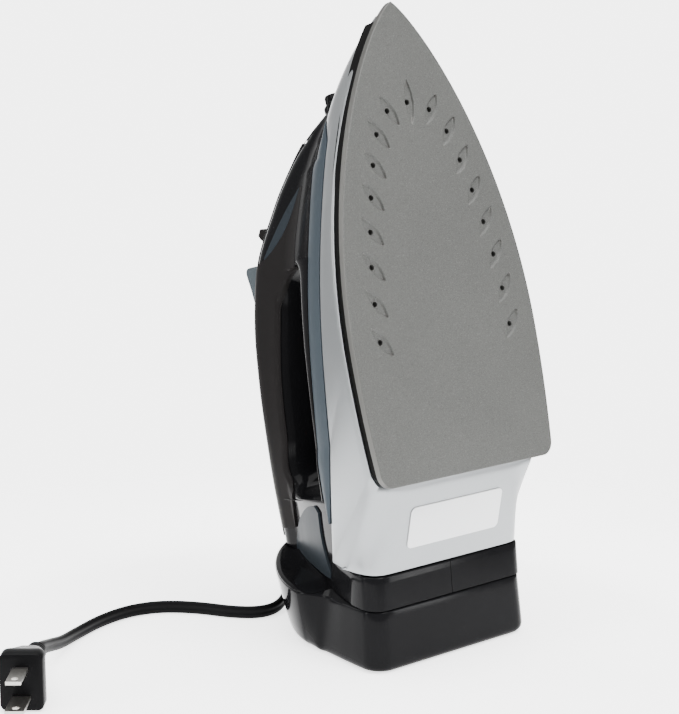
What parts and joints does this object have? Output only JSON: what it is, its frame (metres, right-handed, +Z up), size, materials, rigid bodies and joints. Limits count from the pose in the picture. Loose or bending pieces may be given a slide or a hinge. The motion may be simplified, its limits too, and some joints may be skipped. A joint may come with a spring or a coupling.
{
  "type": "steam iron",
  "caption": "Household steam iron standing on its heel, with a sole plate, an open handle, a temperature dial, spray and steam controls, a filling flap and a two-blade mains cord.",
  "frame": {"origin": "centre of the heel's resting face, which lies on the floor when the iron stands on end", "axes": "+Z up, towards the nose; -Y is the sole's side; +X is the iron's right, seen from the sole's side"},
  "size_m": [0.2559, 0.1543, 0.2924],
  "materials": {
    "sole_plate": "warm dark grey coated plate, fine sparkle",
    "cast_alloy": "as cast",
    "steel": "plain",
    "nickel_blade": "nickel plated",
    "brass": "turned",
    "silver_plastic": "satin metallic silver",
    "label": "blank satin label",
    "gloss_black": "polished black",
    "grip": "satin warm black grip",
    "slate": "satin blue grey",
    "button": "satin grey teal",
    "foot_rubber": "plain",
    "silicone": "red silicone",
    "clear_plastic": "translucent, inside the shell",
    "lens": "red lens",
    "ceramic": "glazed ceramic",
    "cord_sheath": "black cord sheath"
  },
  "bodies": {
    "iron": {"burst_pump": "clear_plastic", "burst_spring": "steel", "casting_screw_left": "steel", "casting_screw_right": "steel", "chamber_cover": "cast_alloy", "chamber_gasket": "silicone", "collar_left": "gloss_black", "collar_right": "gloss_black", "cord_guard": "cord_sheath", "fill_funnel": "clear_plastic", "fill_hinge_pin": "steel", "front_insert_left": "slate", "front_insert_right": "slate", "grip_panel_left": "grip", "grip_panel_right": "grip", "handle_cap": "gloss_black", "handle_core": "gloss_black", "heat_shield": "cast_alloy", "heater_casting": "cast_alloy", "heating_element": "steel", "heel_base": "gloss_black", "heel_foot_left": "foot_rubber", "heel_foot_right": "foot_rubber", "heel_plate": "gloss_black", "heel_screw": "steel", "internal_wires": "cord_sheath", "metal_skirt": "silver_plastic", "pilot_lens": "lens", "plug_blade_narrow": "nickel_blade", "plug_blade_wide": "nickel_blade", "plug_body": "cord_sheath", "power_cord": "cord_sheath", "pump_tubes": "clear_plastic", "rating_plate": "label", "rear_insert_left": "slate", "rear_insert_right": "slate", "side_strip_left": "slate", "side_strip_right": "slate", "skirt_gasket": "silicone", "soleplate": "sole_plate", "spray_nozzle": "gloss_black", "spray_pump": "clear_plastic", "spray_spring": "steel", "tank_cover": "gloss_black", "tank_seal": "silicone", "tank_tray": "clear_plastic", "terminal_block": "ceramic", "thermal_fuse": "steel", "thermostat": "ceramic", "valve_seat": "brass"},
    "dial": {"temperature_dial": "gloss_black", "dial_spindle": "steel"},
    "spray": {"spray_button": "button", "spray_plunger": "steel"},
    "burst": {"burst_button": "button", "burst_plunger": "steel"},
    "slider": {"steam_slider": "gloss_black"},
    "needle": {"steam_needle": "brass"},
    "flap": {"fill_cover": "gloss_black"}
  },
  "joints": [
    {"name": "temperature_dial_turn", "type": "hinge", "parent": "iron", "child": "dial", "pos_m": [0, 0.01418, 0.12946], "axis": [0, 0.9639, -0.2664], "range_deg": [0, 270]},
    {"name": "spray_button_press", "type": "slide", "parent": "iron", "child": "spray", "axis": [0, -0.9639, 0.2664], "range_m": [0, 0.004], "stiffness_N_per_m": 600, "springref_m": -0.002, "deforming": ["spray_spring"]},
    {"name": "burst_button_press", "type": "slide", "parent": "iron", "child": "burst", "axis": [0, -0.9639, 0.2664], "range_m": [0, 0.004], "stiffness_N_per_m": 600, "springref_m": -0.002, "deforming": ["burst_spring"]},
    {"name": "steam_slider_move", "type": "slide", "parent": "iron", "child": "slider", "axis": [0, -0.3652, 0.9309], "range_m": [0, 0.004]},
    {"name": "steam_needle_lift", "type": "slide", "parent": "iron", "child": "needle", "axis": [0, 0.9639, -0.2664], "range_m": [0, 0.001]},
    {"name": "fill_cover_open", "type": "hinge", "parent": "iron", "child": "flap", "pos_m": [0, 0.06363, 0.20647], "axis": [-1, 0, 0], "range_deg": [0, 95]}
  ],
  "couplings": [
    {"joint": "steam_needle_lift", "follows": "steam_slider_move", "ratio": 0.25}
  ]
}
